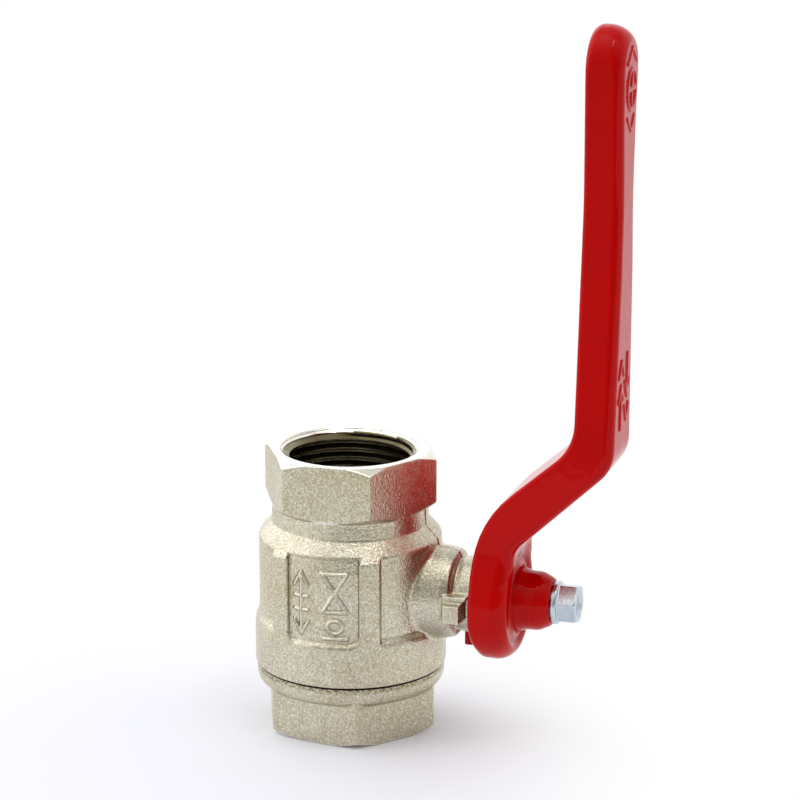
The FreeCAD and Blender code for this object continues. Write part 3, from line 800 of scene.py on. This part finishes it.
def thread_points(face_z, inwards):
    """Points of the thread's closed ring in millimetres, by row and by step around."""
    last_turn = math.ceil(PORT_DEPTH / PITCH) + 2
    turns = [turn + share for turn in range(-1, last_turn) for share in PROFILE_SHARES]
    angles = np.linspace(0, 2 * math.pi, THREAD_STEPS + 1)
    along, angle = np.meshgrid(turns, angles, indexing="ij")
    depth = np.clip((along - angle / (2 * math.pi)) * PITCH, OUTER_TURN, PORT_DEPTH)
    phase = (depth / PITCH + angle / (2 * math.pi)) % 1.0
    flank = np.clip((np.abs(phase - 0.5) * 2 - THREAD_FLAT) / (1 - 2 * THREAD_FLAT), 0, 1)
    lead_in = np.where(depth < LEAD_IN, MOUTH_R - depth, MOUTH_R - LEAD_IN - (depth - LEAD_IN) * 5)
    radius = np.maximum(CREST_R + (ROOT_R - CREST_R) * flank, lead_in)
    fade = np.clip((depth - (PORT_DEPTH - RUN_OUT)) / (RUN_OUT / 2), 0, 1)
    radius = radius + (ROOT_R - radius) * fade
    wall = np.full((1, len(angles)), THREAD_WALL_R + 0.05)
    radius = np.concatenate([radius, wall, wall])
    depth = np.concatenate([depth, depth[-1:], depth[:1]])
    around = np.concatenate([angle, angle[:2]])
    return np.stack([radius * np.cos(around), radius * np.sin(around), face_z + inwards * depth], -1)


def thread_faces(count, width, inwards):
    """Quads between the rows, the last of which joins the first."""
    row, column = np.meshgrid(np.arange(count), np.arange(width - 1), indexing="ij")
    here, following = row * width + column, (row + 1) % count * width + column
    faces = np.stack([here, following, following + 1, here + 1], -1).reshape(-1, 4)
    return faces[:, ::-1] if inwards > 0 else faces


def thread_piece(name, face_z, inwards, body):
    """A closed ring that carries the real helical G 3/4 thread of one port."""
    points = thread_points(face_z, inwards)
    faces = thread_faces(points.shape[0], points.shape[1], inwards)
    mesh = bpy.data.meshes.new(name)
    mesh.from_pydata((points.reshape(-1, 3) * MM).tolist(), [], faces.tolist())
    shaping = bmesh.new()
    shaping.from_mesh(mesh)
    bmesh.ops.remove_doubles(shaping, verts=shaping.verts, dist=WELD)
    bmesh.ops.dissolve_degenerate(shaping, edges=shaping.edges, dist=WELD)
    for face in shaping.faces:
        middle = face.calc_center_median()
        reach = math.hypot(middle.x, middle.y) / MM
        face.material_index = 1 if reach > MOUTH_R - LEAD_IN or reach < CREST_R + 0.04 else 0
        face.smooth = True
    shaping.to_mesh(mesh)
    shaping.free()
    mesh.materials.append(bore)
    mesh.materials.append(machined)
    mesh.set_sharp_from_angle(angle=math.radians(40))
    thing = bpy.data.objects.new(name, mesh)
    bpy.context.scene.collection.objects.link(thing)
    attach(thing, body)
    return thing


# ---- Lever casting ----
BOSS_END_X = HUB_FRONT_X + 6.4
CRANK_Z = STEM_Z + 16.95
GRIP_Z = CRANK_Z + 17.1
GRIP_X = HUB_BACK_X + 19.6
GRIP_THICKNESS = 7.7
GRIP_LEAN = 1.0               # how far the grip leans out between its foot and the top
TIP_R = 7.3
TIP_Z = LEVER_TOP_Z - (TIP_R + TIP_INSET)
WAIST_Z = STEM_Z + 81.2
WAIST_HALF = 5.4
WAIST_ROUND = 70.0
ROOT_Z = STEM_Z + 6.2
ROOT_HALF = 9.6
RECESS_R = 8.3                # hollow that takes the neck's tip
DRIVE_R = 4.05
DRIVE_HALF = 3.05             # half the width across the drive's flats
HOLE_R = 2.75
BEYOND = 20.0                 # how far the cutting outlines pass the lever's ends


def lever_marks(y, z):
    """Generic signs on the lever's outer face: arrows near the crank, a crossed ring at the tip."""
    low, up_y, down_y = STEM_Z + 37.0, -2.4, 2.2
    lines = [[(up_y, low), (up_y, low + 8.0)], [(down_y, low + 6.0), (down_y, low + 14.0)]]
    lines += [chevron(up_y, low + rise, 1.8, 3.0) for rise in (5.6, 10.4)]
    lines += [chevron(down_y, low + rise, 1.6, -3.0) for rise in (8.6, 3.8)]
    ring_z, ring_y, ring_rise = TIP_Z - 4.6, 3.3, 3.8
    lines += [
        ring_points(0, ring_z, ring_y, ring_rise, 24), [(0, ring_z - ring_rise), (0, ring_z + ring_rise)],
        [(-ring_y, ring_z), (ring_y, ring_z)], chevron(0, ring_z + 5.0, 3.4, 2.8),
        chevron(0, ring_z - 5.4, 2.6, -2.4)]
    return strokes(lines, 0.42, y, z)


def lever_blade(grid):
    """The cranked blade: two cutting outlines from the side, one round outline from the front."""
    x, y, z = grid.x, grid.y, grid.z
    low, top = STEM_Z - HUB_R - BEYOND, LEVER_TOP_Z + BEYOND
    lean = 1.25 * GRIP_LEAN       # the lean goes on above the top
    front_x = GRIP_X + GRIP_THICKNESS
    back = [(HUB_BACK_X, low), (HUB_BACK_X, CRANK_Z, 22.0), (GRIP_X, GRIP_Z, 10.0), (GRIP_X + lean, top)]
    front = [(front_x + lean, top), (front_x, GRIP_Z - 4.0, 8.0), (HUB_FRONT_X, CRANK_Z - 5.0, 5.0),
             (HUB_FRONT_X, low)]
    far_x = 90
    inner = outline_distance(back + [(far_x, top), (far_x, low)], x, z)
    outer = outline_distance([(0, low), (0, top)] + front, x, z)
    outer = outer + 0.4 * np.clip((z - TIP_Z + 40) / 30, 0, 1)
    outer = outer - raised(lever_marks(y, z), 0.3, 0.2)
    arm = outline_distance([
        (-ROOT_HALF, ROOT_Z), (ROOT_HALF, ROOT_Z), (WAIST_HALF, WAIST_Z, WAIST_ROUND), (TIP_R, TIP_Z),
        (-TIP_R, TIP_Z), (-WAIST_HALF, WAIST_Z, WAIST_ROUND)], y, z)
    hub = np.sqrt(y * y + (z - STEM_Z) ** 2) - HUB_R
    tip = np.sqrt(y * y + (z - TIP_Z) ** 2) - TIP_R
    outline = np.minimum(join(hub, arm, 3.0), tip)
    near_tip = np.clip((z - LEVER_TOP_Z + 12) / 12, 0, 1) ** 2
    near_hub = np.clip((STEM_Z + 16 - z) / 12, 0, 1)
    below_hub = np.clip((STEM_Z - 3 - z) / 6, 0, 1)
    back_edge = 0.8 + 1.4 * near_tip + 1.6 * below_hub
    front_edge = 2.0 + 2.0 * near_hub + 2.8 * near_tip
    return np.maximum(pushed(inner, outline, back_edge), pushed(outer, outline, front_edge))


def build_lever():
    grid = Grid((lever_low[0] - MARGIN, -HUB_R - MARGIN, STEM_Z - HUB_R - MARGIN),
                (lever_high[0] + MARGIN, HUB_R + MARGIN, LEVER_TOP_Z + MARGIN), LEVER_STEP)
    dish_r, dish_end_r, dish_x = 6.0, 10.0, HUB_FRONT_X - 1.1
    dish = about_stem(grid, [(dish_r, dish_x), (dish_r, HUB_FRONT_X + 3), (dish_end_r, HUB_FRONT_X + 3),
                             (dish_end_r, HUB_FRONT_X + 0.2), (8.4, dish_x)])
    field = cut(lever_blade(grid), dish, 1.2)
    boss = about_stem(grid, [(0, HUB_FRONT_X - 1.2), (5.9, HUB_FRONT_X - 1.2), (5.8, HUB_FRONT_X + 4.0, 3.0),
                             (4.6, BOSS_END_X, 0.9), (0, BOSS_END_X)])
    field = join(field, boss, 2.0)
    rib_x, rib_r = HUB_BACK_X - RIB_DEPTH, HUB_R + 0.2
    rib = about_stem(grid, [(RECESS_R + 1.9, rib_x), (rib_r, rib_x), (rib_r, HUB_BACK_X + 1),
                            (RECESS_R, HUB_BACK_X + 1), (RECESS_R, rib_x + 1.6)])
    rib_edge = 2.83               # the rib fills the quarter beyond this distance from both axes
    quarter = np.maximum(rib_edge - grid.y, grid.z - STEM_Z + rib_edge)
    field = join(field, pushed(rib, quarter, 0.3), 0.3)
    field = cut(field, stem_cylinder(grid, RECESS_R, rib_x - 1, NECK_END_X + 0.8), 0.3)
    drive = stem_cylinder(grid, DRIVE_R, NECK_END_X, BOSS_END_X - 3)
    field = cut(field, np.maximum(drive, np.abs(grid.y) - DRIVE_HALF))
    return grid, cut(field, stem_cylinder(grid, HOLE_R, BOSS_END_X - 4, BOSS_END_X + 1))


# ---- Lever screw ----
SCREW_HEX_HALF = 3.5
SCREW_HEX_TURN = -15          # degrees
FLANGE_R = 4.27
FLANGE_END_X = BOSS_END_X + 1.3
FLANGE_NECK = 0.35            # gap that keeps the flange clear of the boss
SHANK_R = 2.5
SHANK_LENGTH = 11


def build_screw():
    reach, margin, head_x = 4.6, 0.3, screw_high[0]
    grid = Grid((screw_low[0] - margin, -reach, STEM_Z - reach), (head_x + margin, reach, STEM_Z + reach),
                SCREW_STEP)
    hexagon = hexagon_distance(SCREW_HEX_HALF, SCREW_HEX_TURN, grid.z - STEM_Z, grid.y)
    corner_r = 2 * SCREW_HEX_HALF / math.sqrt(3)
    crown = about_stem(grid, [
        (0, BOSS_END_X + 0.2), (corner_r + 1, BOSS_END_X + 0.2), (corner_r + 1, head_x - 1.35),
        (corner_r - 0.35, head_x), (2.6, head_x), (2.0, head_x - 0.6), (0, head_x - 0.6)])
    head = common(crown, hexagon, 0.25)
    neck_end = BOSS_END_X + FLANGE_NECK
    flange = about_stem(grid, [(0, BOSS_END_X), (3.7, BOSS_END_X), (3.7, neck_end), (FLANGE_R, neck_end),
                               (FLANGE_R, FLANGE_END_X, 0.4), (0, FLANGE_END_X)])
    shank_x, shank_end = BOSS_END_X - SHANK_LENGTH, BOSS_END_X + 0.5
    shank = about_stem(grid, [(0, shank_x), (SHANK_R, shank_x, 0.5), (SHANK_R, shank_end), (0, shank_end)])
    return grid, join(join(head, flange, 0.3), shank)


# ---- Pieces ----
bare_piece("body_forging", build_body, "valve_body", ["body"],
           [blasted, machined, bore], body_faces)
bare_piece("end_connector_forging", build_end, "valve_body", ["end_connector"],
           [blasted, machined, bore], end_faces)
thread_piece("upper_port_thread", TOP_Z, -1, "valve_body")
thread_piece("lower_port_thread", 0.0, 1, "valve_body")
bare_piece("lever_casting", build_lever, "handle", ["lever"], [enamel])
bare_piece("lever_screw_detailed", build_screw, "handle", ["lever_screw"], [zinc])

hidden_looks = {
    "ball": chrome(), "seat_ring_upper": seat_plastic(), "seat_ring_lower": seat_plastic(),
    "stem_thrust_washer": seat_plastic(), "stem": stem_brass(), "stem_o_ring_inner": seal_rubber(),
    "stem_o_ring_outer": seal_rubber()}
for node, material in hidden_looks.items():
    thing = frame["nodes"][node]
    for slot in thing.material_slots:
        slot.material = material


# ---- Floor, light and camera ----
WHITE = (1, 1, 1, 1)


def seen_rays(n):
    """1 for camera, glossy and transmission rays, 0 for the others."""
    rays = n.node("LightPath").outputs
    seen = n.math("MAXIMUM", rays["Is Camera Ray"], rays["Is Glossy Ray"])
    return n.math("MAXIMUM", seen, rays["Is Transmission Ray"])


def floor_material():
    """Pale floor with the object's shadow, plain white to the eye away from the object."""
    material = bpy.data.materials.new("floor")
    material.use_nodes = True
    material.node_tree.nodes.clear()
    n = Tree(material.node_tree)
    away = n.node("VectorMath", operation="DISTANCE")
    n.link(n.node("TexCoord").outputs["Object"], away.inputs[0])
    away.inputs[1].default_value = (-0.012, -0.03, 0)
    fade = n.span(away.outputs["Value"], 0.03, 0.085, way="SMOOTHSTEP")
    diffuse = n.node("BsdfDiffuse")
    diffuse.inputs["Color"].default_value = (0.88, 0.885, 0.93, 1)
    white = n.node("Emission")
    white.inputs["Color"].default_value = WHITE
    mix = n.node("MixShader")
    n.link(n.math("MULTIPLY", fade, seen_rays(n)), mix.inputs[0])
    n.link(diffuse.outputs[0], mix.inputs[1])
    n.link(white.outputs[0], mix.inputs[2])
    n.link(mix.outputs[0], n.node("OutputMaterial").inputs["Surface"])
    return material


floor_mesh = bpy.data.meshes.new("floor")
floor_mesh.from_pydata([(-6, -0.3, 0), (6, -0.3, 0), (6, 6, 0), (-6, 6, 0)], [], [(0, 1, 2, 3)])
floor_mesh.materials.append(floor_material())
floor = bpy.data.objects.new("floor", floor_mesh)
bpy.context.scene.collection.objects.link(floor)


def soft_light(name, place, aim, width, height, power):
    """An area lamp that points at a place."""
    data = bpy.data.lights.new(name, "AREA")
    data.shape = "RECTANGLE"
    data.size, data.size_y, data.energy = width, height, power
    lamp = bpy.data.objects.new(name, data)
    lamp.location = place
    lamp.rotation_euler = (Vector(aim) - Vector(place)).to_track_quat("-Z", "Y").to_euler()
    bpy.context.scene.collection.objects.link(lamp)


soft_light("top_light", (-0.12, -0.14, 0.85), (0, 0, 0.05), 0.6, 0.4, 0.2)
soft_light("first_strip", (0.24, -0.08, 0.80), (0.03, 0, 0.03), 0.16, 0.05, 0.22)
soft_light("second_strip", (0.24, -0.22, 0.80), (0.03, 0, 0.03), 0.16, 0.05, 0.22)


def studio_world():
    """White to the camera. To the object, a room that is darker and warmer towards the front."""
    world = bpy.data.worlds.new("studio")
    world.use_nodes = True
    n = Tree(world.node_tree)
    camera_ray = n.node("LightPath").outputs["Is Camera Ray"]
    direction = n.node("TexCoord").outputs["Generated"]
    facing = n.node("VectorMath", operation="DOT_PRODUCT")
    n.link(direction, facing.inputs[0])
    facing.inputs[1].default_value = (0.25, -0.95, 0.15)
    axes = n.node("SeparateXYZ")
    n.link(direction, axes.inputs[0])
    shade = n.span(facing.outputs["Value"], 0.0, 0.95, 1.0, 0.25, "SMOOTHSTEP")
    overhead = n.span(axes.outputs["Z"], 0.3, 0.95, 0.0, 0.32, "SMOOTHSTEP")
    beside = n.span(axes.outputs["X"], 0.2, -0.9, 0.0, 0.75)
    behind = n.span(axes.outputs["Y"], 0.05, 0.25)
    high = n.span(axes.outputs["Z"], 0.55, 0.75, 0.0, 0.5)
    level = n.math("ADD", shade, n.math("ADD", overhead, beside))
    level = n.math("MULTIPLY", level, n.math("SUBTRACT", 1.0, n.math("MULTIPLY", behind, high)))
    strength = n.node("Mix")
    for key, value in (("Factor", camera_ray), ("A", level), ("B", 1.0)):
        n.feed(strength.inputs[key], value)
    background = n.tree.nodes["Background"]
    n.link(strength.outputs["Result"], background.inputs["Strength"])
    tint = n.mix(shade, (1.0, 0.96, 0.88, 1), (0.98, 0.99, 1.03, 1))
    n.link(n.mix(camera_ray, tint, WHITE), background.inputs["Color"])
    return world


scene = bpy.context.scene
scene.world = studio_world()
scene.view_settings.view_transform = "Standard"

VIEW_TURN = math.radians(17.19)
VIEW_RISE = math.radians(15.61)
VIEW_PLACE = (0.177334, -0.539878, 0.225221)
camera_data = bpy.data.cameras.new("camera")
camera_data.lens = 135.0
camera_data.sensor_width = 36.0
camera_data.clip_start = 0.01
camera = bpy.data.objects.new("camera", camera_data)
camera.location = VIEW_PLACE
sight = Vector((-math.sin(VIEW_TURN) * math.cos(VIEW_RISE), math.cos(VIEW_TURN) * math.cos(VIEW_RISE),
                -math.sin(VIEW_RISE)))
camera.rotation_euler = sight.to_track_quat("-Z", "Y").to_euler()
scene.collection.objects.link(camera)
scene.camera = camera
